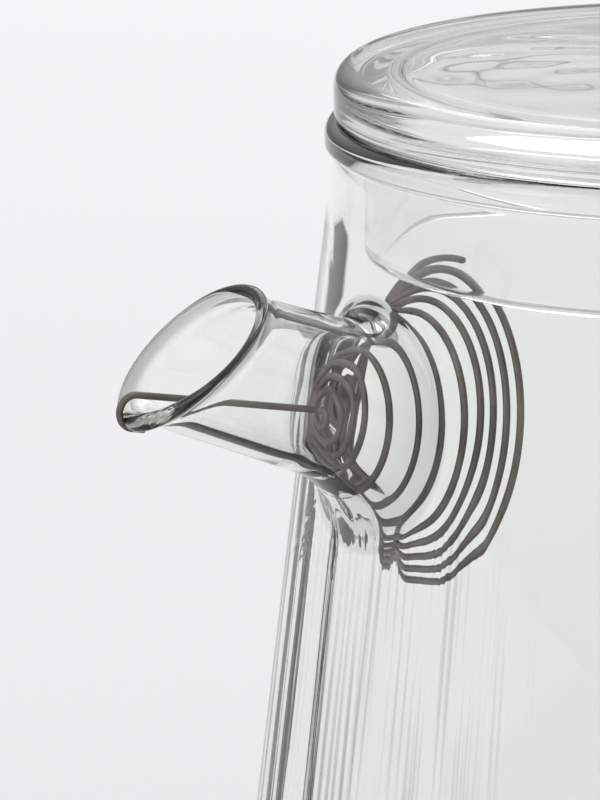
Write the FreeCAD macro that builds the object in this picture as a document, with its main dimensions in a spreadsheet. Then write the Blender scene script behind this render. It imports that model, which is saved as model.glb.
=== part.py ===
import FreeCAD
import Part
import math
import os
import Sketcher

# Glass pouring pot with a stopper lid and a spiral wire strainer in its spout. Millimetres.
# +Z is up, the origin is the middle of the base, the spout points to -X and the handle to +X.

Vector = FreeCAD.Vector
Rotation = FreeCAD.Rotation

# Driving dimensions: alias, value, what it is.
DIMENSIONS = [
    # pot
    ("pot_height", 146.0, "base to top of rim bead"),
    ("neck_radius", 48.4, "outside of wall just under the rim bead"),
    ("wall_slope", 6.5, "half angle of the conical wall, degrees"),
    ("wall", 2.4, "wall thickness"),
    ("floor", 3.0, "floor thickness"),
    ("heel_radius", 9.0, "outer rounding of wall into base"),
    ("bead_radius", 1.75, "section radius of the rim bead"),
    # spout
    ("spout_tilt", 20.6, "rise of the tube above level, degrees"),
    ("spout_root", 95.4, "height where the tube's line meets the pot's axis"),
    ("spout_reach", 81.4, "pot's axis to middle of mouth, along the tube"),
    ("blank_length", 100.0, "pot's axis to far end of the tube before its mouth is cut"),
    ("blank_radius", 8.6, "outside of the tube at that end"),
    ("throat_radius", 9.8, "outside of tube where the collar starts"),
    ("tube_wall", 1.45, "wall thickness of the tube"),
    ("mouth_cut", 27.5, "mouth plane off square, degrees"),
    ("collar_start", 62.5, "pot's axis to small end of collar, along the tube"),
    ("port_back", 47.0, "pot's axis to the wide end of the collar"),
    ("port_level", 112.7, "height of the middle of that end"),
    ("port_radius", 12.8, "inside of the collar there"),
    ("collar_radius", 14.8, "outside of the collar there"),
    # handle
    ("rod_radius", 4.5, "glass rod of the handle"),
    ("pad_radius", 8.5, "fused pad where the rod meets the wall"),
    ("pad_length", 6.0, "pad, along the rod"),
    ("pad_root", 3.0, "how far the pad's blank starts inside the wall"),
    ("handle_top", 121.0, "height of the upper pad"),
    ("handle_foot", 50.0, "height of the lower pad"),
    ("handle_reach", 97.0, "pot's axis to the top outer corner"),
    ("handle_waist", 91.0, "pot's axis to the lower outer corner"),
    ("handle_bend", 20.0, "radius of the two outer bends"),
    # lid
    ("lid_radius", 48.4, "outside of the cap"),
    ("lid_rise", 6.8, "cap above the top of the rim bead"),
    ("lid_gap", 0.05, "bearing gap under the cap"),
    ("skirt_radius", 44.3, "outside of the skirt in the neck"),
    ("skirt_depth", 16.8, "skirt below the top of the rim bead"),
    ("skirt_wall", 2.5, "skirt thickness"),
    ("lid_top", 3.6, "thickness of the cap's flat top"),
    # strainer
    ("wire_radius", 0.45, "strainer wire"),
    ("stem_tilt", 10.5, "rise of the strainer's line above level, degrees"),
    ("coil_back", 40.4, "pot's axis to the widest turn"),
    ("coil_level", 112.0, "height of the middle of the widest turn"),
    ("core_turn", 1.9, "radius of the smallest turn"),
    ("snout_turns", 3.0, "turns inside the spout"),
    ("snout_step", 1.7, "growth of radius for each of them"),
    ("snout_pitch", 0.65, "advance for each of them"),
    ("throat_turns", 2.0, "turns through the collar"),
    ("throat_step", 1.75, "growth of radius for each of them"),
    ("throat_pitch", 3.45, "advance for each of them"),
    ("flank_turns", 2.0, "turns in the mouth of the port"),
    ("flank_step", 1.8, "growth of radius for each of them"),
    ("flank_pitch", 2.1, "advance for each of them"),
    ("wall_turns", 5.0, "turns inside the pot"),
    ("wall_step", 1.4, "growth of radius for each of them"),
    ("wall_pitch", 0.95, "advance for each of them"),
    ("stem_end", 82.7, "pot's axis to where the hook starts to bend"),
    ("hook_radius", 2.05, "bend of the hook, to the wire's middle"),
    ("hook_return", 1.7, "straight end of the hook under the lip"),
]

doc = FreeCAD.newDocument("pouring_pot")
sheet = doc.addObject("Spreadsheet::Sheet", "dims")
for row, (alias, value, note) in enumerate(DIMENSIONS, start=1):
    sheet.set(f"A{row}", alias)
    sheet.set(f"B{row}", str(value))
    sheet.set(f"C{row}", note)
    sheet.setAlias(f"B{row}", alias)
doc.recompute()


def size(expression):
    """The value of an expression over the sheet, as a plain number."""
    value = sheet.evalExpression(expression)
    return float(getattr(value, "Value", value))


def bind(thing, settings):
    """Binds properties of an object to expressions over the sheet."""
    for name, expression in settings.items():
        thing.setExpression(name, expression)


def origin_plane(body, role):
    return next(f for f in body.Origin.OriginFeatures if f.Role == role)


def new_body(name):
    body = doc.addObject("PartDesign::Body", name)
    body.Label = name
    return body


def new_sketch(body, name, role="XZ_Plane"):
    sketch = body.newObject("Sketcher::SketchObject", name)
    sketch.AttachmentSupport = [(origin_plane(body, role), "")]
    sketch.MapMode = "FlatFace"
    return sketch


def pin_point(sketch, edge, end, across, up):
    """Holds one end of an edge at two expressions, measured from the sketch's origin."""
    for kind, axis, expression in (("DistanceX", -2, across), ("DistanceY", -1, up)):
        if expression == "0":
            sketch.addConstraint(Sketcher.Constraint("PointOnObject", edge, end, axis))
            continue
        index = sketch.addConstraint(
            Sketcher.Constraint(kind, -1, 1, edge, end, size(expression))
        )
        name = f"{kind}_{edge}_{end}"
        sketch.renameConstraint(index, name)
        sketch.setExpression(f"Constraints.{name}", expression)


def draw_outline(sketch, corners):
    """A closed outline through corners, each given as two expressions."""
    points = [Vector(size(across), size(up), 0) for across, up in corners]
    count = len(points)
    for here in range(count):
        line = Part.LineSegment(points[here], points[(here + 1) % count])
        sketch.addGeometry(line, False)
    for here in range(count):
        after = (here + 1) % count
        sketch.addConstraint(Sketcher.Constraint("Coincident", here, 2, after, 1))
    for here, (across, up) in enumerate(corners):
        pin_point(sketch, here, 1, across, up)


def revolve(body, sketch, name="turned"):
    feature = body.newObject("PartDesign::Revolution", name)
    feature.Profile = sketch
    feature.ReferenceAxis = (sketch, ["V_Axis"])
    feature.Angle = 360.0
    sketch.Visibility = False
    doc.recompute()
    return feature


def ring_edges(shape, radius, height):
    """Names of the circular edges about Z with this radius and height."""
    names = []
    for number, edge in enumerate(shape.Edges, start=1):
        circle = edge.Curve
        if not isinstance(circle, Part.Circle):
            continue
        near = abs(circle.Radius - radius) < 0.01 and abs(circle.Center.z - height) < 0.01
        if near:
            names.append(f"Edge{number}")
    return names


def round_rings(body, name, radius, rings):
    """Fillets circular edges, each given by the expressions of its radius and height."""
    base = body.Tip
    edges = []
    for ring_radius, height in rings:
        edges += ring_edges(base.Shape, size(ring_radius), size(height))
    fillet = body.newObject("PartDesign::Fillet", name)
    fillet.Base = (base, edges)
    fillet.setExpression("Radius", radius)
    doc.recompute()
    return fillet


def cut(name, base, tool):
    result = doc.addObject("Part::Cut", name)
    result.Base = base
    result.Tool = tool
    result.Label = name
    doc.recompute()
    return result


def wall_radius_at(level):
    """Expression of the outer wall's radius at a height below the rim bead."""
    rim_line = "dims.pot_height - 2 * dims.bead_radius"
    return f"dims.neck_radius + ({rim_line} - {level}) * tan(dims.wall_slope)"


# The tube's own frame: its Z runs out along the spout, from the pot's axis.
tube_turn = Rotation(Vector(0, 1, 0), size("dims.spout_tilt") - 90.0)
tube_place = FreeCAD.Placement(Vector(0, 0, size("dims.spout_root")), tube_turn)


def make_wall_cone():
    """The pot's outer wall as a solid cone, which trims what is fused to it."""
    cone = doc.addObject("Part::Cone", "wall_cone")
    bind(cone, {
        "Radius1": wall_radius_at("0"),
        "Radius2": "dims.neck_radius - 2 * dims.bead_radius * tan(dims.wall_slope)",
        "Height": "dims.pot_height",
    })
    doc.recompute()
    return cone


def make_pot(port):
    """Conical vessel, open at the top, with a bead round its rim and a port for the spout."""
    rim_line = "dims.pot_height - 2 * dims.bead_radius"
    foot_radius = wall_radius_at("0")
    floor_radius = wall_radius_at("dims.floor") + " - dims.wall"
    bead_middle = "dims.neck_radius - dims.wall + dims.bead_radius"
    body = new_body("pot_blank")
    sketch = new_sketch(body, "pot_outline")
    draw_outline(sketch, [
        ("0", "0"),
        (foot_radius, "0"),
        ("dims.neck_radius", rim_line),
        ("dims.neck_radius - dims.wall", rim_line),
        (floor_radius, "dims.floor"),
        ("0", "dims.floor"),
    ])
    revolve(body, sketch)
    round_rings(body, "heel", "dims.heel_radius", [(foot_radius, "0")])
    inner_heel = "dims.heel_radius - dims.wall"
    round_rings(body, "inner_heel", inner_heel, [(floor_radius, "dims.floor")])
    bead = doc.addObject("Part::Torus", "rim_bead")
    bind(bead, {
        "Radius1": bead_middle,
        "Radius2": "dims.bead_radius",
        "Placement.Base.z": "dims.pot_height - dims.bead_radius",
    })
    neck = doc.addObject("Part::Cylinder", "neck_band")
    bind(neck, {
        "Radius": "dims.neck_radius",
        "Height": "dims.bead_radius",
        "Placement.Base.z": rim_line,
    })
    bore = doc.addObject("Part::Cylinder", "neck_bore")
    bind(bore, {
        "Radius": "dims.neck_radius - dims.wall",
        "Height": "dims.bead_radius",
        "Placement.Base.z": rim_line,
    })
    band = cut("rim_band", neck, bore)
    joined = doc.addObject("Part::MultiFuse", "pot_joined")
    joined.Shapes = [body, band, bead]
    joined.Refine = True
    return cut("pot_body", joined, port)


def make_spout_tube():
    """Slightly tapered tube with an oblique mouth and a rounded lip."""
    body = new_body("tube_blank")
    sketch = new_sketch(body, "tube_outline")
    draw_outline(sketch, [
        ("dims.throat_radius - dims.tube_wall", "dims.collar_start"),
        ("dims.throat_radius", "dims.collar_start"),
        ("dims.blank_radius", "dims.blank_length"),
        ("dims.blank_radius - dims.tube_wall", "dims.blank_length"),
    ])
    revolve(body, sketch)
    body.Placement = tube_place
    knife = doc.addObject("Part::Box", "mouth_knife")
    knife_side = "8 * dims.blank_radius"
    bind(knife, {"Length": knife_side, "Width": knife_side, "Height": knife_side})
    mouth = tube_place.multVec(Vector(0, 0, size("dims.spout_reach")))
    lean = Rotation(Vector(0, 1, 0), size("dims.spout_tilt + dims.mouth_cut") - 90.0)
    half = size(knife_side) / 2
    knife.Placement = FreeCAD.Placement(mouth - lean.multVec(Vector(half, half, 0)), lean)
    blank = cut("tube_cut", body, knife)
    lip_round = size("dims.tube_wall * 0.42")
    rounded = doc.addObject("Part::Fillet", "spout_tube")
    rounded.Base = blank
    rounded.Edges = [
        (number, lip_round, lip_round)
        for number, edge in enumerate(blank.Shape.Edges, start=1)
        if isinstance(edge.Curve, Part.Ellipse)
    ]
    rounded.Label = "spout_tube"
    doc.recompute()
    return rounded


def make_flare(name, throat, wide):
    """A plain flare from the tube's inner end to a circle just inside the pot's wall."""
    small = doc.addObject("Part::Circle", name + "_small")
    small.setExpression("Radius", throat)
    neck = tube_place.multVec(Vector(0, 0, size("dims.collar_start")))
    small.Placement = FreeCAD.Placement(neck, tube_turn)
    large = doc.addObject("Part::Circle", name + "_large")
    large.setExpression("Radius", wide)
    middle = Vector(-size("dims.port_back"), 0, size("dims.port_level"))
    square = Rotation(Vector(0, 1, 0), size("dims.wall_slope") - 90.0)
    large.Placement = FreeCAD.Placement(middle, square)
    loft = doc.addObject("Part::Loft", name)
    loft.Sections = [small, large]
    loft.Solid = True
    loft.Ruled = True
    doc.recompute()
    return loft


def make_spout_collar(port, wall_cone):
    """Flare of thick glass that joins the tube to the edge of the port."""
    outside = make_flare("collar_outside", "dims.throat_radius", "dims.collar_radius")
    return cut("spout_collar", cut("collar_blank", outside, port), wall_cone)


def make_handle_pad(name, level, wall_cone):
    """Disc of gathered glass that thins from the wall down to the rod."""
    cone = doc.addObject("Part::Cone", name + "_blank")
    bind(cone, {
        "Radius1": "dims.pad_radius",
        "Radius2": "dims.rod_radius",
        "Height": "dims.pad_length + dims.pad_root",
        "Placement.Base.x": f"{wall_radius_at(level)} - dims.pad_root",
        "Placement.Base.z": level,
    })
    cone.Placement.Rotation = Rotation(Vector(0, 1, 0), 90)
    return cut(name, cone, wall_cone)


def make_handle():
    """Glass rod bent into an open loop, from the upper pad out, down and back to the lower pad."""
    rod_starts = [
        wall_radius_at(level) + " + dims.pad_length"
        for level in ("dims.handle_top", "dims.handle_foot")
    ]
    top, foot = size("dims.handle_top"), size("dims.handle_foot")
    reach, waist = size("dims.handle_reach"), size("dims.handle_waist")
    bend = size("dims.handle_bend")
    corners = [
        Vector(size(rod_starts[0]), top, 0),
        Vector(reach, top, 0),
        Vector(waist, foot, 0),
        Vector(size(rod_starts[1]), foot, 0),
    ]
    body = new_body("handle")
    path = new_sketch(body, "handle_path")
    ends = [corners[0]]
    arcs = []
    for before, corner, after in zip(corners, corners[1:], corners[2:]):
        inward = (before - corner).normalize()
        outward = (after - corner).normalize()
        half = inward.getAngle(outward) / 2
        reach_back = bend / math.tan(half)
        middle = corner + (inward + outward).normalize() * (bend / math.sin(half))
        start = corner + inward * reach_back
        stop = corner + outward * reach_back
        crown = middle + (corner - middle).normalize() * bend
        arcs.append(Part.Arc(start, crown, stop))
        ends += [start, stop]
    ends.append(corners[-1])
    path.addGeometry(Part.LineSegment(ends[0], ends[1]), False)
    path.addGeometry(arcs[0], False)
    path.addGeometry(Part.LineSegment(ends[2], ends[3]), False)
    path.addGeometry(arcs[1], False)
    path.addGeometry(Part.LineSegment(ends[4], ends[5]), False)
    section = new_sketch(body, "handle_section", "YZ_Plane")
    section.setExpression("AttachmentOffset.Base.z", rod_starts[0])
    section.addGeometry(Part.Circle(Vector(0, top, 0), Vector(0, 0, 1), size("dims.rod_radius")), False)
    pin_point(section, 0, 3, "0", "dims.handle_top")
    index = section.addConstraint(Sketcher.Constraint("Radius", 0, size("dims.rod_radius")))
    section.renameConstraint(index, "rod")
    section.setExpression("Constraints.rod", "dims.rod_radius")
    doc.recompute()
    pipe = body.newObject("PartDesign::AdditivePipe", "rod")
    pipe.Profile = section
    pipe.Spine = (path, [])
    doc.recompute()
    return body


def make_lid():
    """Flat-topped stopper: a cap that bears on the rim and a skirt that hangs in the neck."""
    seat = "(dims.pot_height + dims.lid_gap)"
    top = f"({seat} + dims.lid_rise)"
    hem = f"({seat} - dims.skirt_depth)"
    inside = "dims.skirt_radius - dims.skirt_wall"
    ceiling = f"{top} - dims.lid_top"
    body = new_body("lid")
    sketch = new_sketch(body, "lid_outline")
    draw_outline(sketch, [
        ("0", ceiling),
        (inside, ceiling),
        (inside, hem),
        ("dims.skirt_radius", hem),
        ("dims.skirt_radius", seat),
        ("dims.lid_radius", seat),
        ("dims.lid_radius", top),
        ("0", top),
    ])
    revolve(body, sketch)
    round_rings(body, "shoulder", "dims.lid_top * 0.7", [("dims.lid_radius", top)])
    round_rings(body, "hollow_corner", "dims.lid_top * 0.8", [(inside, ceiling)])
    round_rings(body, "hem_round", "dims.skirt_wall * 0.45", [(inside, hem), ("dims.skirt_radius", hem)])
    round_rings(body, "cap_edge", "dims.lid_top * 0.3", [("dims.lid_radius", seat)])
    return body


def bent_wire(start, heading, bends, radius):
    """A round wire: straight runs and bends about given centres, as one solid.

    Each bend is a length for a straight run, or (centre, axis, degrees) for an arc.
    """
    pieces = []
    for bend in bends:
        disc = Part.Face(Part.Wire(Part.makeCircle(radius, start, heading)))
        if isinstance(bend, tuple):
            centre, axis, degrees = bend
            pieces.append(disc.revolve(centre, axis, degrees))
            turn = Rotation(axis, degrees)
            start = centre + turn.multVec(start - centre)
            heading = turn.multVec(heading)
        else:
            pieces.append(disc.extrude(heading * bend))
            start = start + heading * bend
    return pieces[0].multiFuse(pieces[1:]).removeSplitter()


def coil_stations():
    """Radius and advance at every half turn, from the middle of the coil out to its widest turn."""
    radius = size("dims.core_turn")
    advance = 0.0
    stations = [(0.0, 0.0)]
    for zone in ("snout", "throat", "flank", "wall"):
        for half_turn in range(int(size(f"2 * dims.{zone}_turns"))):
            stations.append((radius, advance))
            radius += size(f"dims.{zone}_step") / 2
            advance += size(f"dims.{zone}_pitch") / 2
    return stations


def make_strainer():
    """One bent wire: a coil that widens from the spout into the pot, a stem and a hook over the lip."""
    tilt = math.radians(size("dims.stem_tilt"))
    wire = size("dims.wire_radius")
    out = Vector(-math.cos(tilt), 0, math.sin(tilt))
    up = Vector(math.sin(tilt), 0, math.cos(tilt))
    side = Vector(0, 1, 0)
    stations = coil_stations()
    deepest = stations[-1][1]
    back = Vector(-size("dims.coil_back"), 0, size("dims.coil_level"))
    points = [
        back + out * (deepest - advance) + up * (radius if number % 2 == 0 else -radius)
        for number, (radius, advance) in enumerate(stations)
    ]
    bends = []
    for number in range(len(points) - 1):
        across = (points[number + 1] - points[number]).normalize()
        swing = 1 if number % 2 == 0 else -1
        middle = (points[number] + points[number + 1]) * 0.5
        bends.append((middle, across.cross(side) * swing, 180.0))
    coil = bent_wire(points[0], side * -1, bends, wire)

    elbow = size("dims.core_turn") / 2
    foot = points[0] + side * elbow + out * elbow
    stem_length = (size("dims.stem_end") + foot.x) / math.cos(tilt)
    hook = size("dims.hook_radius")
    knee = foot + out * stem_length
    stem = bent_wire(points[0], side, [
        (points[0] + out * elbow, up, 90.0),
        stem_length,
        (knee - up * hook, side * -1, 180.0),
        size("dims.hook_return"),
    ], wire)
    parts = []
    for name, shape in (("strainer_coil", coil), ("strainer_stem", stem)):
        piece = doc.addObject("Part::Feature", name)
        piece.Shape = shape
        piece.Placement = FreeCAD.Placement()
        piece.Label = name
        parts.append(piece)
    doc.recompute()
    return parts


wall_cone = make_wall_cone()
port = make_flare("spout_port", "dims.throat_radius - dims.tube_wall", "dims.port_radius")
sub_parts = [
    make_pot(port),
    make_spout_tube(),
    make_spout_collar(port, wall_cone),
    make_handle_pad("handle_upper_pad", "dims.handle_top", wall_cone),
    make_handle_pad("handle_lower_pad", "dims.handle_foot", wall_cone),
    make_handle(),
    make_lid(),
] + make_strainer()

for thing in doc.Objects:
    if "Invalid" in thing.State or "Error" in thing.State:
        raise RuntimeError(f"{thing.Name} did not recompute: {thing.State}")
for part in sub_parts:
    if part.Shape.isNull() or not part.Shape.isValid() or len(part.Shape.Solids) != 1:
        raise RuntimeError(f"{part.Label} is not one valid solid")

os.makedirs("parts", exist_ok=True)
for part in sub_parts:
    part.Shape.exportStep(f"parts/{part.Label}.step")
    print(part.Label, round(part.Shape.Volume, 1), "mm3")
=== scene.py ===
import math

import bmesh
import bpy
import numpy as np
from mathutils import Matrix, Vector


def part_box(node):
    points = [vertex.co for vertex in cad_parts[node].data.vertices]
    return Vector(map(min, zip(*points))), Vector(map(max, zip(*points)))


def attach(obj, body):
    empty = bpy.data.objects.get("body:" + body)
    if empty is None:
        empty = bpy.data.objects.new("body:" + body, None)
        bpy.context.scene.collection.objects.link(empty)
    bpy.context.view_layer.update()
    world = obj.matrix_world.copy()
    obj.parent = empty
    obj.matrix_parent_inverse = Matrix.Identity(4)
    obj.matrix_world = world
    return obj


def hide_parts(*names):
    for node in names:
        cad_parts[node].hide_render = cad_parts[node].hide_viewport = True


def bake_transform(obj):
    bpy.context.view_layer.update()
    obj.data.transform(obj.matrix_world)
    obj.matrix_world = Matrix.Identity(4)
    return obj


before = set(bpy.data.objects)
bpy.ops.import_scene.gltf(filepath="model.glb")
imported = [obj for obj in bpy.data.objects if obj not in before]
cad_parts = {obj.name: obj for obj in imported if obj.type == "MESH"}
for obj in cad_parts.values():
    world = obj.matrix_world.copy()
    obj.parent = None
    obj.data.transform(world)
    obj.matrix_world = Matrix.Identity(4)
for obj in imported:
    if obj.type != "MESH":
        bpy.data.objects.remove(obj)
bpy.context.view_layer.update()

# Glass pouring pot with a stopper lid and a spiral wire strainer in the spout.
# Metres, +Z up, the base stands at the origin, the spout points to -X and the handle to +X.

mm = 0.001
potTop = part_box("pot_body")[1].z
lidLow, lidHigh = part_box("lid")

pot = {
    "neckRadius": 48.4 * mm,  # outside of the wall under the rim bead
    "wallSlope": math.radians(6.5),
    "wall": 2.4 * mm,
    "floor": 3.0 * mm,
    "heel": 9.0 * mm,
    "underside": 0.7 * mm,  # how far the middle of the base is pushed up
    "crown": 0.4 * mm,  # how far the middle of the floor rises
    "poleRadius": 4 * mm,  # small disc that closes the base and the floor
    "lowWall": 13 * mm,  # height where the straight wall starts
    "bead": 1.75 * mm,
    "columns": 300,
    "patchRings": 7,  # rings from the edge of a patch to the hole in it
    "cordDepth": 0.13 * mm,  # drawn cords in the wall under the spout
    "cordSpread": math.radians(27),
    "wallWobble": 0.015 * mm,  # unevenness of the whole wall
    "paintedEdgeShadeWidth": 0.015,  # painted shade: width of the dark line painted along the inner face's edge, as a span of its facing value
}

spout = {
    "tilt": math.radians(20.6),
    "root": 95.4 * mm,  # height where the tube's line meets the pot's axis
    "reach": 81.4 * mm,  # to the middle of the mouth, along the tube
    "throatAt": 62.5 * mm,  # where the collar ends and the plain tube starts
    "throatRadius": 9.8 * mm,
    "taper": 0.032,
    "wall": 1.45 * mm,
    "mouthCut": math.radians(27.5),
    "lipBead": 0.3,  # how much thicker the melted lip is
    "lipFlare": 1.15 * mm,  # how far it turns out at the top
    "tipBead": 0.45,  # and at its low tip
    "tipFlare": 1.25 * mm,  # and at the low tip
    "paintedEdgeShadeWidth": 0.03,  # as in the pot
    "paintedSeamShade": 0.8,  # how much grey green painted shade the melted lip gets, from 0 to 1
    "collarPaintedShade": 0.5,  # and the collar where it meets the wall
    "collarSteps": 16,
    "tubeSteps": 26,
    "lipSteps": 9,
    "patchLevels": (91.7 * mm, 133.7 * mm),  # part of the wall that is gridded finely round the hole
    "patchRows": 38,
    "patchColumns": 20,  # to each side of the middle
    "portLevel": 112.7 * mm,
    "collarRadius": 16.0 * mm,  # where the collar runs out on the wall
    "portRadius": 13.6 * mm,
    "lumps": 0.02 * mm,  # unevenness of the collar
    "ridge": 0.06 * mm,  # inner ridge where the tube was melted on
}

handle = {
    "rod": 4.5 * mm,
    "padRadius": 9.6 * mm,
    "padLength": 6.0 * mm,
    "levels": (121.0 * mm, 50.0 * mm),
    "outer": (97.0 * mm, 91.0 * mm),  # corners of the loop, from the pot's axis
    "bend": 20.0 * mm,
    "patchLevels": (38 * mm, 62 * mm),  # part of the wall that is gridded finely at the lower pad
    "patchRows": 22,
    "patchColumns": 13,
}

lid = {
    "skirtRadius": 44.3 * mm,
    "skirtWall": 2.5 * mm,
    "topThickness": 3.6 * mm,
    "columns": 288,
    "poleRadius": 3 * mm,
    "wobble": 0.03 * mm,  # unevenness of the hollow
}

strainer = {
    "wire": 0.45 * mm,
    "tilt": math.radians(10.5),
    "back": 40.4 * mm,  # pot's axis to the widest turn
    "level": 112.0 * mm,
    "coreTurn": 1.9 * mm,
    "zones": (  # turns, growth of radius and advance for each turn
        (3, 1.7 * mm, 0.65 * mm),
        (2, 1.75 * mm, 3.45 * mm),
        (2, 1.8 * mm, 2.1 * mm),
        (5, 1.4 * mm, 0.95 * mm),
    ),
    "stemEnd": 82.7 * mm,
    "hook": 2.05 * mm,
    "hookReturn": 1.7 * mm,
    "handWobble": 0.12 * mm,  # how unevenly the turns are bent
    "segment": 0.7 * mm,
    "sides": 14,
}


def smooth(value):
    value = np.clip(value, 0.0, 1.0)
    return value * value * (3 - 2 * value)


def toLinear(code):
    channels = [int(code[start:start + 2], 16) / 255 for start in (1, 3, 5)]
    linear = [c / 12.92 if c <= 0.04045 else ((c + 0.055) / 1.055) ** 2.4 for c in channels]
    return (*linear, 1.0)


def addNode(tree, kind, settings=None, links=None):
    node = tree.nodes.new(kind)
    for name, value in (settings or {}).items():
        if isinstance(name, str) and hasattr(node, name):
            setattr(node, name, value)
        else:
            node.inputs[name].default_value = value
    for name, source in (links or {}).items():
        tree.links.new(source, node.inputs[name])
    return node


def newMaterial(name):
    material = bpy.data.materials.new(name)
    material.use_nodes = True
    tree = material.node_tree
    tree.nodes.clear()
    output = tree.nodes.new("ShaderNodeOutputMaterial")
    return material, tree, output


# Borosilicate glass, drawn and worked in the flame. It is water clear where it is thin, and where
# light runs along the wall, at lips and fused seams, its faint grey green adds up. Its base colour
# also carries painted shade: grey lines on the cords, grey green on lips and seams, and a dark line
# along the inner faces' edges.
def borosilicateGlass(name, cordStrength):
    material, tree, output = newMaterial(name)
    coords = addNode(tree, "ShaderNodeTexCoord")
    split = addNode(tree, "ShaderNodeSeparateXYZ", links={0: coords.outputs["Object"]})
    azimuth = addNode(tree, "ShaderNodeMath", {"operation": "ARCTAN2"},
                      {0: split.outputs["Y"], 1: split.outputs["X"]})
    # cords stand 1.5 mm apart on a 55 mm radius and wander once in 90 mm of height
    along = addNode(tree, "ShaderNodeMath", {"operation": "ABSOLUTE"}, {0: azimuth.outputs[0]})
    around = addNode(tree, "ShaderNodeMath", {"operation": "MULTIPLY", 1: 55 / 1.5},
                     {0: along.outputs[0]})
    slow = addNode(tree, "ShaderNodeMath", {"operation": "MULTIPLY", 1: 1 / 0.09},
                   {0: split.outputs["Z"]})
    place = addNode(tree, "ShaderNodeCombineXYZ",
                    links={"X": around.outputs[0], "Y": slow.outputs[0]})
    cords = addNode(tree, "ShaderNodeTexNoise", {"Scale": 1.0, "Detail": 2.0, "Roughness": 0.55},
                    {"Vector": place.outputs[0]})
    # only the wall below and beside the spout was reheated, so only it is corded
    near = addNode(tree, "ShaderNodeMapRange",
                   {"From Min": math.pi - pot["cordSpread"] * 1.25,
                    "From Max": math.pi - pot["cordSpread"] * 0.8},
                   {"Value": along.outputs[0]})
    below = addNode(tree, "ShaderNodeMapRange",
                    {"From Min": spout["portLevel"] - 8 * mm,
                     "From Max": spout["portLevel"] - 20 * mm},
                    {"Value": split.outputs["Z"]})
    corded = addNode(tree, "ShaderNodeMath", {"operation": "MULTIPLY"},
                     {0: near.outputs[0], 1: below.outputs[0]})
    height = addNode(tree, "ShaderNodeMath", {"operation": "MULTIPLY"},
                     {0: cords.outputs["Fac"], 1: corded.outputs[0]})
    bump = addNode(tree, "ShaderNodeBump", {"Strength": cordStrength, "Distance": 0.12 * mm},
                   {"Height": height.outputs[0]})
    # a broad, very shallow ripple, 9 mm from crest to crest, from the flame
    ripple = addNode(tree, "ShaderNodeTexNoise", {"Scale": 1 / 0.009, "Detail": 1.0},
                     {"Vector": coords.outputs["Object"]})
    skin = addNode(tree, "ShaderNodeBump", {"Strength": 0.25, "Distance": 0.02 * mm},
                   {"Height": ripple.outputs["Fac"], "Normal": bump.outputs[0]})
    # painted shade: grey lines painted along the thick cords stand in for the dark lines their
    # lensing draws
    cordShadeRamp = addNode(tree, "ShaderNodeMapRange", {"From Min": 0.54, "From Max": 0.70},
                     {"Value": cords.outputs["Fac"]})
    cordShadeMask = addNode(tree, "ShaderNodeMath", {"operation": "MULTIPLY"},
                   {0: cordShadeRamp.outputs[0], 1: corded.outputs[0]})
    # Painted shade: a dark line is painted into the base colour along the inner face's edge, where
    # the Layer Weight facing is near 0.266, the value at which light inside the glass meets that
    # face at the critical angle of 42.8 degrees. It stands in for the dark line that the light
    # thrown aside there draws.
    weight = addNode(tree, "ShaderNodeLayerWeight", {"Blend": 0.5})
    offEdge = addNode(tree, "ShaderNodeMath", {"operation": "SUBTRACT", 1: 0.266},
                      {0: weight.outputs["Facing"]})
    away = addNode(tree, "ShaderNodeMath", {"operation": "ABSOLUTE"}, {0: offEdge.outputs[0]})
    span = addNode(tree, "ShaderNodeAttribute", {"attribute_name": "paintedEdgeShadeWidth"})
    within = addNode(tree, "ShaderNodeMath", {"operation": "SUBTRACT"},
                     {0: span.outputs["Fac"], 1: away.outputs[0]})
    line = addNode(tree, "ShaderNodeMapRange", {"From Min": 0.0, "From Max": 0.005},
                   {"Value": within.outputs[0]})
    # only for light that comes from inside the glass
    whichSide = addNode(tree, "ShaderNodeNewGeometry")
    edge = addNode(tree, "ShaderNodeMath", {"operation": "MULTIPLY"},
                   {0: line.outputs[0], 1: whichSide.outputs["Backfacing"]})
    # melted lips and seams are full of fine ripples; the pale grey green painted on them is painted
    # shade for the dark look that light reflected inside the thick rounded glass gives there
    paintedSeamShade = addNode(tree, "ShaderNodeAttribute", {"attribute_name": "paintedSeamShade"})
    cordShadePainted = addNode(tree, "ShaderNodeMix",
                       {"data_type": "RGBA", 6: toLinear("#fdfefd"), 7: toLinear("#8f908c")},
                       {0: cordShadeMask.outputs[0]})
    seamShadePainted = addNode(tree, "ShaderNodeMix", {"data_type": "RGBA", 7: toLinear("#a5a79f")},
                     {0: paintedSeamShade.outputs["Fac"], 6: cordShadePainted.outputs[2]})
    # painted shade: the base colour turns dark grey along the painted line, and the transmission
    # drops there too
    edgeShadePainted = addNode(tree, "ShaderNodeMix", {"data_type": "RGBA", 7: toLinear("#262624")},
                    {0: edge.outputs[0], 6: seamShadePainted.outputs[2]})
    clear = addNode(tree, "ShaderNodeMapRange", {"To Min": 1.0, "To Max": 0.06},
                    {"Value": edge.outputs[0]})
    shader = addNode(tree, "ShaderNodeBsdfPrincipled", {"Roughness": 0.0, "IOR": 1.473},
                     {"Base Color": edgeShadePainted.outputs[2], "Transmission Weight": clear.outputs[0],
                      "Normal": skin.outputs[0]})
    tint = addNode(tree, "ShaderNodeVolumeAbsorption",
                   {"Color": toLinear("#a9b3a0"), "Density": 11.0})
    tree.links.new(shader.outputs[0], output.inputs["Surface"])
    tree.links.new(tint.outputs[0], output.inputs["Volume"])
    return material


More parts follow.
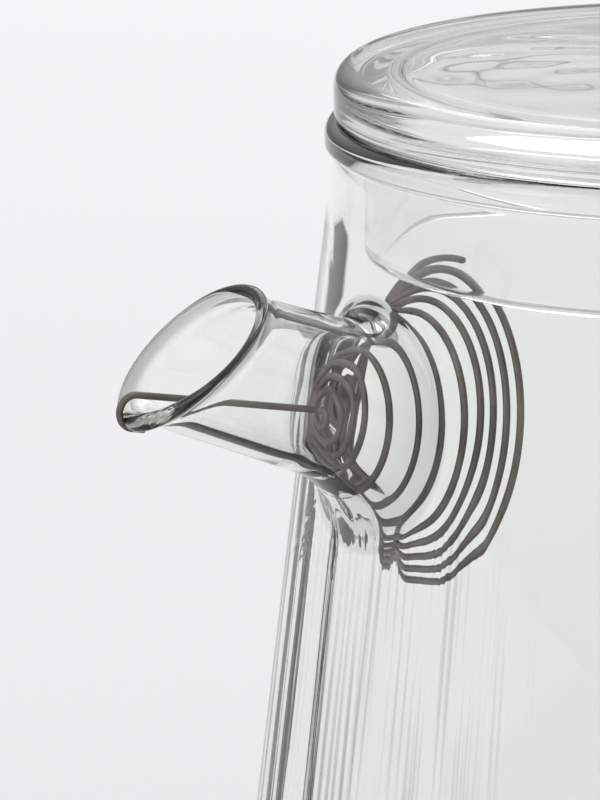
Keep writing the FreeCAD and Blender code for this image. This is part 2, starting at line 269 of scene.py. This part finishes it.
# Stainless spring wire, drawn and then darkened by heat and tea. It is a matt brown grey with fine
# drawing lines and slightly browner patches.
def stainlessWire():
    material, tree, output = newMaterial("heat-darkened stainless wire")
    coords = addNode(tree, "ShaderNodeTexCoord")
    patches = addNode(tree, "ShaderNodeTexNoise", {"Scale": 1 / 0.006, "Detail": 3.0},
                      {"Vector": coords.outputs["Object"]})
    grain = addNode(tree, "ShaderNodeTexNoise", {"Scale": 1 / 0.0003, "Detail": 2.0},
                    {"Vector": coords.outputs["Object"]})
    colour = addNode(tree, "ShaderNodeValToRGB", links={"Fac": patches.outputs["Fac"]})
    colour.color_ramp.elements[0].position = 0.35
    colour.color_ramp.elements[0].color = toLinear("#6c645f")
    colour.color_ramp.elements[1].position = 0.68
    colour.color_ramp.elements[1].color = toLinear("#8a817b")
    rough = addNode(tree, "ShaderNodeMapRange", {"To Min": 0.36, "To Max": 0.6},
                    {"Value": grain.outputs["Fac"]})
    bump = addNode(tree, "ShaderNodeBump", {"Strength": 0.35, "Distance": 0.02 * mm},
                   {"Height": grain.outputs["Fac"]})
    shader = addNode(tree, "ShaderNodeBsdfPrincipled", {"Metallic": 0.85},
                     {"Base Color": colour.outputs["Color"], "Roughness": rough.outputs[0],
                      "Normal": bump.outputs[0]})
    tree.links.new(shader.outputs[0], output.inputs["Surface"])
    return material


# Merges points that lie together, turns all faces outwards and smooths the shading.
def mendMesh(mesh, distance):
    work = bmesh.new()
    work.from_mesh(mesh)
    bmesh.ops.remove_doubles(work, verts=work.verts, dist=distance)
    bmesh.ops.recalc_face_normals(work, faces=work.faces)
    work.to_mesh(mesh)
    work.free()
    mesh.shade_smooth()


# A mesh that grows ring by ring. Rings of equal length are stitched with quads.
class Shell:
    def __init__(self):
        self.points = []
        self.faces = []
        self.paintedEdgeShadeWidths = []
        self.paintedSeamShades = []

    def ring(self, points, paintedEdgeShadeWidth=0.0, paintedSeamShade=0.0):
        first = len(self.points)
        self.points.extend(tuple(p) for p in points)
        self.paintedEdgeShadeWidths.extend([paintedEdgeShadeWidth] * (len(self.points) - first))
        self.paintedSeamShades.extend([paintedSeamShade] * (len(self.points) - first))
        return list(range(first, len(self.points)))

    def stitch(self, ringA, ringB):
        count = len(ringA)
        for here in range(count):
            after = (here + 1) % count
            self.faces.append((ringA[here], ringA[after], ringB[after], ringB[here]))

    def cap(self, ring, middle):
        centre = self.ring([middle])[0]
        for here in range(len(ring)):
            self.faces.append((ring[here], ring[(here + 1) % len(ring)], centre))

    def toObject(self, name, material):
        mesh = bpy.data.meshes.new(name)
        mesh.from_pydata(self.points, [], self.faces)
        for label, values in (("paintedEdgeShadeWidth", self.paintedEdgeShadeWidths), ("paintedSeamShade", self.paintedSeamShades)):
            mesh.attributes.new(label, "FLOAT", "POINT").data.foreach_set("value", values)
        mendMesh(mesh, 1e-6)
        mesh.materials.append(material)
        piece = bpy.data.objects.new(name, mesh)
        bpy.context.scene.collection.objects.link(piece)
        return piece


# An outline of (radius, height, rounding) corners as points, its corners turned into arcs.
def roundedOutline(corners, steps=8):
    line = [np.array(corners[0][:2])]
    for before, corner, after in zip(corners, corners[1:], corners[2:]):
        middle = np.array(corner[:2])
        back = np.array(before[:2]) - middle
        ahead = np.array(after[:2]) - middle
        back /= np.linalg.norm(back)
        ahead /= np.linalg.norm(ahead)
        half = math.acos(float(np.clip(back @ ahead, -1, 1))) / 2
        if corner[2] == 0 or half > math.pi / 2 - 0.01:
            line.append(middle)
            continue
        start = middle + back * corner[2] / math.tan(half)
        centre = middle + (back + ahead) / np.linalg.norm(back + ahead) * corner[2] / math.sin(half)
        spoke = start - centre
        side = -back
        swing = math.pi - 2 * half
        for step in range(steps + 1):
            angle = swing * step / steps
            line.append(centre + spoke * math.cos(angle) + side * corner[2] * math.sin(angle))
    line.append(np.array(corners[-1][:2]))
    return line


# The same outline with points added where two stand further apart than spacing.
def fillOutline(line, spacing):
    filled = [line[0]]
    for before, after in zip(line, line[1:]):
        gaps = max(1, math.ceil(np.linalg.norm(after - before) / spacing))
        filled += [before + (after - before) * step / gaps for step in range(1, gaps + 1)]
    return filled


def bezier(start, startPull, endPull, end, share):
    rest = 1 - share
    return (start * rest**3 + startPull * 3 * rest**2 * share
            + endPull * 3 * rest * share**2 + end * share**3)


rimLine = potTop - 2 * pot["bead"]


def wallRadius(level):
    return pot["neckRadius"] + (rimLine - level) * math.tan(pot["wallSlope"])


# How far the inner face of the wall stands in from a true cone: drawn cords under the spout.
def cordDepth(azimuth, level):
    off = azimuth % (2 * math.pi) - math.pi
    spread = 1 - smooth((abs(off) - 0.75 * pot["cordSpread"]) / (0.5 * pot["cordSpread"]))
    down = smooth((spout["portLevel"] + 4 * mm - level) / (26 * mm))
    wave = (math.sin(off * 31 + 0.6) + 0.8 * math.sin(off * 47 + 2.1)
            + 0.6 * math.sin(off * 73 + 4.0 + 4 * level))
    slow = math.sin(azimuth * 5 + level * 23) + math.sin(azimuth * 3 - level * 41 + 1.3)
    return pot["cordDepth"] * wave * spread * down + pot["wallWobble"] * slow


def wallPoint(side, azimuth, level):
    radius = wallRadius(level)
    if side == "inner":
        radius -= pot["wall"] + cordDepth(azimuth, level)
    return np.array([radius * math.cos(azimuth), radius * math.sin(azimuth), level])


# The lathe grid's columns stand at these angles.
columnAngles = [2 * math.pi * column / pot["columns"] for column in range(pot["columns"])]


# A rectangle of grid cells that is left open: rows and columns of its edges.
def windowLoop(rows, columns, mirrored=False):
    low, high = rows
    left, right = columns
    loop = [(low, column) for column in range(left, right)]
    loop += [(row, right) for row in range(low, high)]
    loop += [(high, column) for column in range(right, left, -1)]
    loop += [(row, left) for row in range(high, low, -1)]
    if mirrored:
        loop = [(low + high - row, column) for row, column in loop]
    return [(row, column % pot["columns"]) for row, column in loop]


# Rings on the wall from a window's edge in to a round hole. Returns the hole's ring and angles.
def closeIn(shell, side, grid, levels, loop, centre, radius, angles=None):
    rings = pot["patchRings"]
    paintedEdgeShadeWidth = pot["paintedEdgeShadeWidth"] if side == "inner" else 0.0
    middleAzimuth, middleLevel = centre
    scale = wallRadius(middleLevel)
    edge = []
    for row, column in loop:
        off = (columnAngles[column] - middleAzimuth + math.pi) % (2 * math.pi) - math.pi
        edge.append((off * scale, levels[row] - middleLevel))
    if angles is None:
        angles = [math.atan2(up, across) for across, up in edge]
    before = [grid[row][column] for row, column in loop]
    for number in range(1, rings + 1):
        share = smooth(number / rings) * 0.4 + 0.6 * number / rings
        points = []
        for (across, up), angle in zip(edge, angles):
            u = across + (radius * math.cos(angle) - across) * share
            v = up + (radius * math.sin(angle) - up) * share
            points.append(wallPoint(side, middleAzimuth + u / scale, middleLevel + v))
        ring = shell.ring(points, paintedEdgeShadeWidth)
        shell.stitch(before, ring)
        before = ring
    return before, angles


# Points of the hole and the way the wall runs there, towards the hole's middle.
def holeFrame(side, centre, radius, angles):
    middleAzimuth, middleLevel = centre
    scale = wallRadius(middleLevel)
    places = []
    for angle in angles:
        here, inside = [
            wallPoint(side, middleAzimuth + r * math.cos(angle) / scale,
                      middleLevel + r * math.sin(angle))
            for r in (radius, radius - 0.2 * mm)
        ]
        places.append((here, (inside - here) / np.linalg.norm(inside - here)))
    return places


tubeOut = np.array([-math.cos(spout["tilt"]), 0.0, math.sin(spout["tilt"])])
tubeUp = np.array([math.sin(spout["tilt"]), 0.0, math.cos(spout["tilt"])])
tubeSide = np.array([0.0, -1.0, 0.0])
tubeStart = np.array([0.0, 0.0, spout["root"]])


# A point of the tube: along its line, round it, and off its middle wall by half walls.
def tubePoint(along, angle, offset, face):
    mouthAt = spout["reach"] - spout["throatRadius"] * math.sin(angle) * math.tan(spout["mouthCut"])
    high = ((1 + math.sin(angle)) / 2) ** 0.7
    low = ((1 - math.sin(angle)) / 2) ** 10
    turnedOut = smooth((along - mouthAt + 3.4 * mm) / (4 * mm))
    flare = (spout["lipFlare"] * high + spout["tipFlare"] * low) * float(turnedOut)
    radius = (spout["throatRadius"] - spout["wall"] / 2
              - spout["taper"] * (along - spout["throatAt"]) + flare)
    tip = math.exp(-((1 + math.sin(angle)) / 0.12))
    bead = spout["lipBead"] + spout["tipBead"] * tip
    thick = 1 + bead * float(smooth((along - mouthAt + 2.6 * mm) / (2.2 * mm)))
    radius += face * spout["wall"] / 2 * thick + offset
    across = tubeSide * math.cos(angle) + tubeUp * math.sin(angle)
    return tubeStart + tubeOut * along + across * radius, across, thick, mouthAt


# One face of the spout, from its hole in the wall out to the lip.
def growSpoutFace(shell, side, hole, holePlaces, angles):
    face = 1 if side == "outer" else -1
    paintedEdgeShadeWidth = spout["paintedEdgeShadeWidth"] if side == "inner" else 0.0
    before = hole
    throat = [tubePoint(spout["throatAt"], angle, 0, face)[0] for angle in angles]
    for step in range(1, spout["collarSteps"] + 1):
        share = step / spout["collarSteps"]
        points = []
        for (place, inward), end, angle in zip(holePlaces, throat, angles):
            reach = np.linalg.norm(end - place)
            point = bezier(place, place + inward * reach * 0.3, end - tubeOut * reach * 0.38,
                           end, share)
            across = tubeSide * math.cos(angle) + tubeUp * math.sin(angle)
            swell = math.sin(math.pi * share) ** 2
            lump = (math.sin(angle * 3 + 0.7 + face) + 0.7 * math.sin(angle * 7 + 2.0 * face)
                    + 0.5 * math.sin(angle * 11 + 5 * share))
            points.append(point + across * spout["lumps"] * lump * swell)
        ring = shell.ring(points, paintedEdgeShadeWidth * share ** 2, spout["collarPaintedShade"] * (1 - share))
        shell.stitch(before, ring)
        before = ring
    for step in range(1, spout["tubeSteps"] + 1):
        share = 1 - (1 - step / spout["tubeSteps"]) ** 1.25  # closer together towards the lip
        points = []
        for angle in angles:
            mouthAt = tubePoint(spout["throatAt"], angle, 0, face)[3]
            lipAt = mouthAt - spout["wall"] / 2
            along = spout["throatAt"] + (lipAt - spout["throatAt"]) * share
            past = (along - spout["throatAt"] - 1.6 * mm) / (1.5 * mm)
            ridge = spout["ridge"] * math.exp(-past * past) * (1 + 0.35 * math.sin(angle * 4 + 1))
            points.append(tubePoint(along, angle, ridge * (0.35 if face > 0 else -1.0), face)[0])
        paintedSeamShade = spout["paintedSeamShade"] * float(smooth((share - 0.93) / 0.07))
        ring = shell.ring(points, paintedEdgeShadeWidth, paintedSeamShade)
        shell.stitch(before, ring)
        before = ring
    return before


# The melted lip: a half round from the outer face over to the inner one.
def closeLip(shell, outerRing, innerRing, angles):
    before = outerRing
    for step in range(1, spout["lipSteps"]):
        turn = math.pi * step / spout["lipSteps"]
        points = []
        for angle in angles:
            mouthAt = tubePoint(spout["throatAt"], angle, 0, 1)[3]
            lipAt = mouthAt - spout["wall"] / 2
            outerPoint, across, thick, _ = tubePoint(lipAt, angle, 0, 1)
            half = spout["wall"] / 2 * thick
            centre = outerPoint - across * half
            points.append(centre + (across * math.cos(turn) + tubeOut * math.sin(turn)) * half)
        ring = shell.ring(points, 0.0, spout["paintedSeamShade"])
        shell.stitch(before, ring)
        before = ring
    shell.stitch(before, innerRing)


# The handle's line in the XZ plane: points with their headings, from the upper pad to the lower.
def handleLine():
    top, foot = handle["levels"]
    starts = [wallRadius(level) + handle["padLength"] for level in handle["levels"]]
    corners = [(starts[0], top, 0), (handle["outer"][0], top, handle["bend"]),
               (handle["outer"][1], foot, handle["bend"]), (starts[1], foot, 0)]
    line = fillOutline(roundedOutline(corners, steps=18), 3.2 * mm)
    headings = []
    for number in range(len(line)):
        ahead = line[min(number + 1, len(line) - 1)] - line[max(number - 1, 0)]
        headings.append(ahead / np.linalg.norm(ahead))
    headings[0] = np.array([1.0, 0.0])
    headings[-1] = np.array([-1.0, 0.0])
    return line, headings


def rodRing(centre, heading, angles):
    outward = np.array([-heading[1], 0.0, heading[0]])
    return [
        np.array([centre[0], 0.0, centre[1]])
        + (np.array([0.0, 1.0, 0.0]) * math.cos(angle) + outward * math.sin(angle)) * handle["rod"]
        for angle in angles
    ]


def padRings(shell, hole, holePlaces, rodPoints, steps=9):
    before = hole
    out = np.array([1.0, 0.0, 0.0])
    for step in range(1, steps):
        points = []
        for (place, inward), end in zip(holePlaces, rodPoints):
            reach = np.linalg.norm(end - place)
            points.append(bezier(place, place + inward * reach * 0.5,
                                 end - out * reach * 0.35, end, step / steps))
        ring = shell.ring(points)
        shell.stitch(before, ring)
        before = ring
    return before


def makeVessel(material):
    shell = Shell()
    floor, heel, wall = pot["floor"], pot["heel"], pot["wall"]
    lowWall, pole = pot["lowWall"], pot["poleRadius"]
    base = fillOutline(roundedOutline([
        (pole, pot["underside"], 0), (40 * mm, 0.6 * mm, 6 * mm), (46 * mm, 0, 4 * mm),
        (wallRadius(0), 0, heel), (wallRadius(lowWall), lowWall, 0),
    ], steps=9), 8 * mm)
    padLow, padHigh = handle["patchLevels"]
    padRows = handle["patchRows"]
    denseLow, denseHigh = spout["patchLevels"]
    dense = spout["patchRows"]
    outerLevels = np.concatenate([
        np.linspace(lowWall, padLow, 9)[1:], np.linspace(padLow, padHigh, padRows + 1)[1:],
        np.linspace(padHigh, denseLow, 11)[1:], np.linspace(denseLow, denseHigh, dense + 1)[1:],
    ])
    beadRadius = pot["neckRadius"] - wall + 2 * pot["bead"]
    rim = fillOutline(roundedOutline([
        (wallRadius(denseHigh), denseHigh, 0), (pot["neckRadius"], rimLine, 0.35 * mm),
        (beadRadius, rimLine, 0.65 * mm), (beadRadius, potTop, 1.7 * mm),
        (pot["neckRadius"] - wall, potTop, 1.7 * mm),
        (pot["neckRadius"] - wall, rimLine - 1 * mm, 3 * mm),
        (wallRadius(denseHigh) - wall, denseHigh, 0),
    ], steps=8), 2.5 * mm)[1:-1]
    innerLevels = np.concatenate([
        np.linspace(denseHigh, denseLow, dense + 1), np.linspace(denseLow, lowWall, 20)[1:],
    ])
    innerLow = fillOutline(roundedOutline([
        (wallRadius(lowWall) - wall, lowWall, 0), (wallRadius(floor) - wall, floor, heel - wall),
        (20 * mm, floor + 0.25 * mm, 4 * mm), (pole, floor + pot["crown"], 0),
    ], steps=9), 8 * mm)[1:]

    def revolve(radius, level):
        return [(radius * math.cos(a), radius * math.sin(a), level) for a in columnAngles]

    grid, levels, sides = [], [], []
    for radius, level in base:
        grid.append(shell.ring(revolve(radius, level)))
        levels.append(level)
    outerFirst = len(grid)
    for level in outerLevels:
        grid.append(shell.ring([wallPoint("outer", a, level) for a in columnAngles]))
        levels.append(level)
    for radius, level in rim:
        grid.append(shell.ring(revolve(radius, level)))
        levels.append(level)
    innerFirst = len(grid)
    for level in innerLevels:
        grid.append(shell.ring([wallPoint("inner", a, level) for a in columnAngles],
                               pot["paintedEdgeShadeWidth"]))
        levels.append(level)
    for radius, level in innerLow:
        grid.append(shell.ring(revolve(radius, level)))
        levels.append(level)

    def rowAt(level, first, last):
        return min(range(first, last), key=lambda row: abs(levels[row] - level))

    half = pot["columns"] // 2
    spoutColumns = (half - spout["patchColumns"], half + spout["patchColumns"])
    padColumns = (-handle["patchColumns"], handle["patchColumns"])
    outerRows = (rowAt(denseLow, outerFirst, innerFirst), rowAt(denseHigh, outerFirst, innerFirst))
    innerRows = (rowAt(denseHigh, innerFirst, len(grid)), rowAt(denseLow, innerFirst, len(grid)))
    upperMiddle = rowAt(handle["levels"][0], outerFirst, innerFirst)
    upperRows = (upperMiddle - padRows // 2, upperMiddle + padRows // 2)
    lowerFirst = rowAt(padLow, outerFirst - 1, innerFirst)
    lowerRows = (lowerFirst, lowerFirst + padRows)
    windows = [(outerRows, spoutColumns), (innerRows, spoutColumns),
               (upperRows, padColumns), (lowerRows, padColumns)]
    opened = set()
    for rows, columns in windows:
        for row in range(*rows):
            for column in range(*columns):
                opened.add((row, column % pot["columns"]))
    for row in range(len(grid) - 1):
        for column in range(pot["columns"]):
            if (row, column) in opened:
                continue
            after = (column + 1) % pot["columns"]
            shell.faces.append((grid[row][column], grid[row][after],
                                grid[row + 1][after], grid[row + 1][column]))
    shell.cap(grid[0], (0, 0, pot["underside"]))
    shell.cap(grid[-1], (0, 0, floor + pot["crown"]))

    # spout: both faces start from a round hole in the wall and meet at the lip
    centre = (math.pi, spout["portLevel"])
    outerLoop = windowLoop(outerRows, spoutColumns)
    hole, angles = closeIn(shell, "outer", grid, levels, outerLoop, centre, spout["collarRadius"])
    places = holeFrame("outer", centre, spout["collarRadius"], angles)
    outerLip = growSpoutFace(shell, "outer", hole, places, angles)
    innerLoop = [(innerRows[1] - (row - outerRows[0]), column) for row, column in outerLoop]
    hole, _ = closeIn(shell, "inner", grid, levels, innerLoop, centre, spout["portRadius"], angles)
    places = holeFrame("inner", centre, spout["portRadius"], angles)
    innerLip = growSpoutFace(shell, "inner", hole, places, angles)
    closeLip(shell, outerLip, innerLip, angles)

    # handle: one rod from pad to pad
    line, headings = handleLine()
    upper = (0.0, handle["levels"][0])
    lower = (0.0, handle["levels"][1])
    upperHole, rodAngles = closeIn(shell, "outer", grid, levels, windowLoop(upperRows, padColumns),
                                   upper, handle["padRadius"])
    flipped = [-angle for angle in rodAngles]
    lowerLoop = windowLoop(lowerRows, padColumns, mirrored=True)
    lowerHole, _ = closeIn(shell, "outer", grid, levels, lowerLoop, lower, handle["padRadius"],
                           flipped)
    first = rodRing(line[0], headings[0], rodAngles)
    last = rodRing(line[-1], headings[-1], rodAngles)
    before = padRings(shell, upperHole, holeFrame("outer", upper, handle["padRadius"], rodAngles),
                      first)
    for place, heading in zip(line, headings):
        ring = shell.ring(rodRing(place, heading, rodAngles))
        shell.stitch(before, ring)
        before = ring
    end = padRings(shell, lowerHole, holeFrame("outer", lower, handle["padRadius"], flipped),
                   last)
    shell.stitch(before, end)
    return shell.toObject("glass_vessel", material)


def makeLid(material):
    shell = Shell()
    seat, top = potTop + 0.05 * mm, lidHigh.z
    capRadius, skirt = lidHigh.x, lid["skirtRadius"]
    inside = skirt - lid["skirtWall"]
    hem, ceiling = lidLow.z, top - lid["topThickness"]
    outline = fillOutline(roundedOutline([
        (lid["poleRadius"], top, 0), (capRadius, top, 2.6 * mm), (capRadius, seat, 1.2 * mm),
        (skirt, seat, 0.7 * mm), (skirt, hem, 1.15 * mm), (inside, hem, 1.15 * mm),
        (inside, ceiling, 3.0 * mm), (lid["poleRadius"], ceiling, 0),
    ], steps=8), 2.4 * mm)
    angles = [2 * math.pi * c / lid["columns"] for c in range(lid["columns"])]
    rings = []
    for radius, level in outline:
        under = smooth((top - 1.5 * mm - level) / (2 * mm))
        points = []
        for angle in angles:
            wave = (math.sin(angle * 4 + 0.4) + 0.8 * math.sin(angle * 9 + 1.9 + radius * 300)
                    + 0.6 * math.sin(angle * 17 + 0.8 - radius * 500))
            sag = lid["wobble"] * wave * (0.2 + 0.8 * under) * smooth(radius / (30 * mm))
            inner = radius < inside + 0.1 * mm
            r = radius + (sag if inner else 0)
            z = level + (sag if inner and level < top - 1 * mm else 0)
            points.append((r * math.cos(angle), r * math.sin(angle), z))
        rings.append(shell.ring(points))
    for ringA, ringB in zip(rings, rings[1:]):
        shell.stitch(ringA, ringB)
    shell.cap(rings[0], (0, 0, top))
    shell.cap(rings[-1], (0, 0, ceiling))
    return shell.toObject("glass_lid", material)


# The strainer's line: widest turn to smallest, then the stem and the hook over the lip.
def strainerLine():
    tilt = strainer["tilt"]
    out = np.array([-math.cos(tilt), 0, math.sin(tilt)])
    up = np.array([math.sin(tilt), 0, math.cos(tilt)])
    side = np.array([0.0, 1.0, 0.0])
    stations, radius, advance = [(0.0, 0.0)], strainer["coreTurn"], 0.0
    for turns, step, pitch in strainer["zones"]:
        for _ in range(int(2 * turns)):
            stations.append((radius, advance))
            radius += step / 2
            advance += pitch / 2
    deepest = stations[-1][1]
    back = np.array([-strainer["back"], 0, strainer["level"]])
    points = [back + out * (deepest - advance) + up * (radius if number % 2 == 0 else -radius)
              for number, (radius, advance) in enumerate(stations)]
    line = []
    for number in range(len(points) - 1, 0, -1):
        start, end = points[number], points[number - 1]
        centre, spoke = (start + end) / 2, (start - end) / 2
        radius = np.linalg.norm(spoke)
        bulge = side * radius * (1 if number % 2 == 0 else -1)
        steps = max(10, int(math.pi * radius / strainer["segment"]))
        for step in range(steps):
            turn = math.pi * step / steps
            wobble = strainer["handWobble"] * math.sin(number * math.pi * 0.77 + turn * 1.77)
            scale = 1 + wobble / max(radius, 3 * mm) * math.sin(turn) ** 2
            line.append(centre + (spoke * math.cos(turn) + bulge * math.sin(turn)) * scale)
    first = points[0]
    elbow = strainer["coreTurn"] / 2
    centre = first + out * elbow
    for step in range(8):
        turn = math.pi / 2 * step / 8
        line.append(centre - out * elbow * math.cos(turn) + side * elbow * math.sin(turn))
    foot = centre + side * elbow
    stem = (strainer["stemEnd"] + foot[0]) / math.cos(tilt)
    knee = foot + out * stem
    line += [foot + (knee - foot) * step / 24 for step in range(24)]
    bend = knee - up * strainer["hook"]
    for step in range(25):
        turn = math.pi * step / 24
        line.append(bend + (up * math.cos(turn) + out * math.sin(turn)) * strainer["hook"])
    last = line[-1]
    line += [last - out * strainer["hookReturn"] * step / 3 for step in range(1, 4)]
    return line


# Node tree that draws a round wire along an edge line.
def wireTree(material):
    tree = bpy.data.node_groups.new("drawn_wire", "GeometryNodeTree")
    tree.interface.new_socket("Geometry", in_out="INPUT", socket_type="NodeSocketGeometry")
    radius = tree.interface.new_socket("Wire radius", in_out="INPUT", socket_type="NodeSocketFloat")
    sides = tree.interface.new_socket("Sides", in_out="INPUT", socket_type="NodeSocketInt")
    tree.interface.new_socket("Geometry", in_out="OUTPUT", socket_type="NodeSocketGeometry")
    entry = addNode(tree, "NodeGroupInput")
    line = addNode(tree, "GeometryNodeMeshToCurve", links={"Mesh": entry.outputs["Geometry"]})
    section = addNode(tree, "GeometryNodeCurvePrimitiveCircle",
                      links={"Resolution": entry.outputs["Sides"],
                             "Radius": entry.outputs["Wire radius"]})
    wire = addNode(tree, "GeometryNodeCurveToMesh", {"Fill Caps": True},
                   {"Curve": line.outputs["Curve"], "Profile Curve": section.outputs["Curve"]})
    real = addNode(tree, "GeometryNodeRealizeInstances", links={"Geometry": wire.outputs["Mesh"]})
    painted = addNode(tree, "GeometryNodeSetMaterial", {"Material": material},
                      {"Geometry": real.outputs["Geometry"]})
    addNode(tree, "NodeGroupOutput", links={"Geometry": painted.outputs["Geometry"]})
    return tree, radius.identifier, sides.identifier


def makeStrainer(material):
    line = strainerLine()
    mesh = bpy.data.meshes.new("strainer_line")
    mesh.from_pydata([tuple(p) for p in line], [(n, n + 1) for n in range(len(line) - 1)], [])
    carrier = bpy.data.objects.new("strainer_line", mesh)
    bpy.context.scene.collection.objects.link(carrier)
    tree, radius, sides = wireTree(material)
    modifier = carrier.modifiers.new("wire", "NODES")
    modifier.node_group = tree
    modifier[radius] = strainer["wire"]
    modifier[sides] = strainer["sides"]
    graph = bpy.context.evaluated_depsgraph_get()
    made = bpy.data.meshes.new_from_object(carrier.evaluated_get(graph))
    carrier.modifiers.remove(modifier)
    bpy.data.objects.remove(carrier)
    mendMesh(made, 1e-7)
    piece = bpy.data.objects.new("wire_strainer", made)
    bpy.context.scene.collection.objects.link(piece)
    return piece


studio = {
    "floorRadius": 2.2,
    "cameraAt": (-0.5183, -0.7926, 0.3248),
    "cameraLooks": (0.4876, 0.8445, -0.2215),
    "lens": 347.7,
    "bandEdges": (0.06, 0.30),  # height on a unit sky where the low band ends and the dome begins
    "bandLevel": 0.42,
    "domeLevel": 0.90,
    "backdropLevel": 0.86,
}


def makeFloor():
    mesh = bpy.data.meshes.new("floor")
    count = 96
    points = [(studio["floorRadius"] * math.cos(2 * math.pi * n / count),
               studio["floorRadius"] * math.sin(2 * math.pi * n / count), 0) for n in range(count)]
    mesh.from_pydata(points, [], [tuple(range(count))])
    floor = bpy.data.objects.new("floor", mesh)
    bpy.context.scene.collection.objects.link(floor)
    material, tree, output = newMaterial("pale matt table")
    shader = addNode(tree, "ShaderNodeBsdfPrincipled",
                     {"Base Color": toLinear("#e4e4e5"), "Roughness": 0.9,
                      "Specular IOR Level": 0.1})
    tree.links.new(shader.outputs[0], output.inputs["Surface"])
    mesh.materials.append(material)
    return floor


# A pale dome overhead and a greyer band low down, which draws the edges of clear glass. The camera
# itself sees one even level behind everything.
def makeSky():
    world = bpy.data.worlds.new("studio")
    bpy.context.scene.world = world
    world.use_nodes = True
    tree = world.node_tree
    tree.nodes.clear()
    coords = addNode(tree, "ShaderNodeTexCoord")
    split = addNode(tree, "ShaderNodeSeparateXYZ", links={0: coords.outputs["Generated"]})
    ramp = addNode(tree, "ShaderNodeMapRange",
                   {"From Min": studio["bandEdges"][0], "From Max": studio["bandEdges"][1],
                    "To Min": studio["bandLevel"], "To Max": studio["domeLevel"]},
                   {"Value": split.outputs["Z"]})
    rays = addNode(tree, "ShaderNodeLightPath")
    level = addNode(tree, "ShaderNodeMix", {"data_type": "FLOAT", 3: studio["backdropLevel"]},
                    {0: rays.outputs["Is Camera Ray"], 2: ramp.outputs[0]})
    glow = addNode(tree, "ShaderNodeBackground", {"Color": toLinear("#fbfbfc")},
                   {"Strength": level.outputs[0]})
    output = addNode(tree, "ShaderNodeOutputWorld")
    tree.links.new(glow.outputs[0], output.inputs["Surface"])


def makeSoftbox(name, place, target, width, height, power):
    light = bpy.data.lights.new(name, "AREA")
    light.shape = "RECTANGLE"
    light.size, light.size_y, light.energy = width, height, power
    lamp = bpy.data.objects.new(name, light)
    lamp.location = place
    lamp.rotation_euler = (Vector(target) - Vector(place)).to_track_quat("-Z", "Y").to_euler()
    lamp.visible_camera = False
    bpy.context.scene.collection.objects.link(lamp)
    return lamp


def makeCamera():
    data = bpy.data.cameras.new("camera")
    data.lens = studio["lens"]
    data.clip_start, data.clip_end = 0.02, 30
    camera = bpy.data.objects.new("camera", data)
    camera.location = studio["cameraAt"]
    camera.rotation_euler = Vector(studio["cameraLooks"]).to_track_quat("-Z", "Y").to_euler()
    bpy.context.scene.collection.objects.link(camera)
    bpy.context.scene.camera = camera


print("materials")
vesselGlass = borosilicateGlass("lampworked borosilicate glass", 0.5)
lidGlass = borosilicateGlass("moulded borosilicate glass", 0.0)
wireSteel = stainlessWire()

print("fused glass vessel")
vessel = makeVessel(vesselGlass)
print("  triangles", sum(len(p.vertices) - 2 for p in vessel.data.polygons))
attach(vessel, "pot")
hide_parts("pot_body", "spout_tube", "spout_collar", "handle_upper_pad",
            "handle_lower_pad", "handle")

print("lid")
lidPiece = makeLid(lidGlass)
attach(lidPiece, "lid")
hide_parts("lid")

print("wire strainer")
wirePiece = makeStrainer(wireSteel)
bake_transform(wirePiece)
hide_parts("strainer_coil", "strainer_stem")

print("studio")
makeFloor()
makeSky()
makeSoftbox("softbox_back", (0.9, 1.3, 1.5), (0.35, 0.6, 0), 1.6, 1.2, 11)
makeSoftbox("softbox_left", (-1.3, 0.1, 0.9), (0, 0, 0.1), 0.6, 1.0, 3)
makeCamera()
scene = bpy.context.scene
scene.view_settings.view_transform = "Standard"
scene.cycles.max_bounces = 32
scene.cycles.transmission_bounces = 28
scene.cycles.glossy_bounces = 16
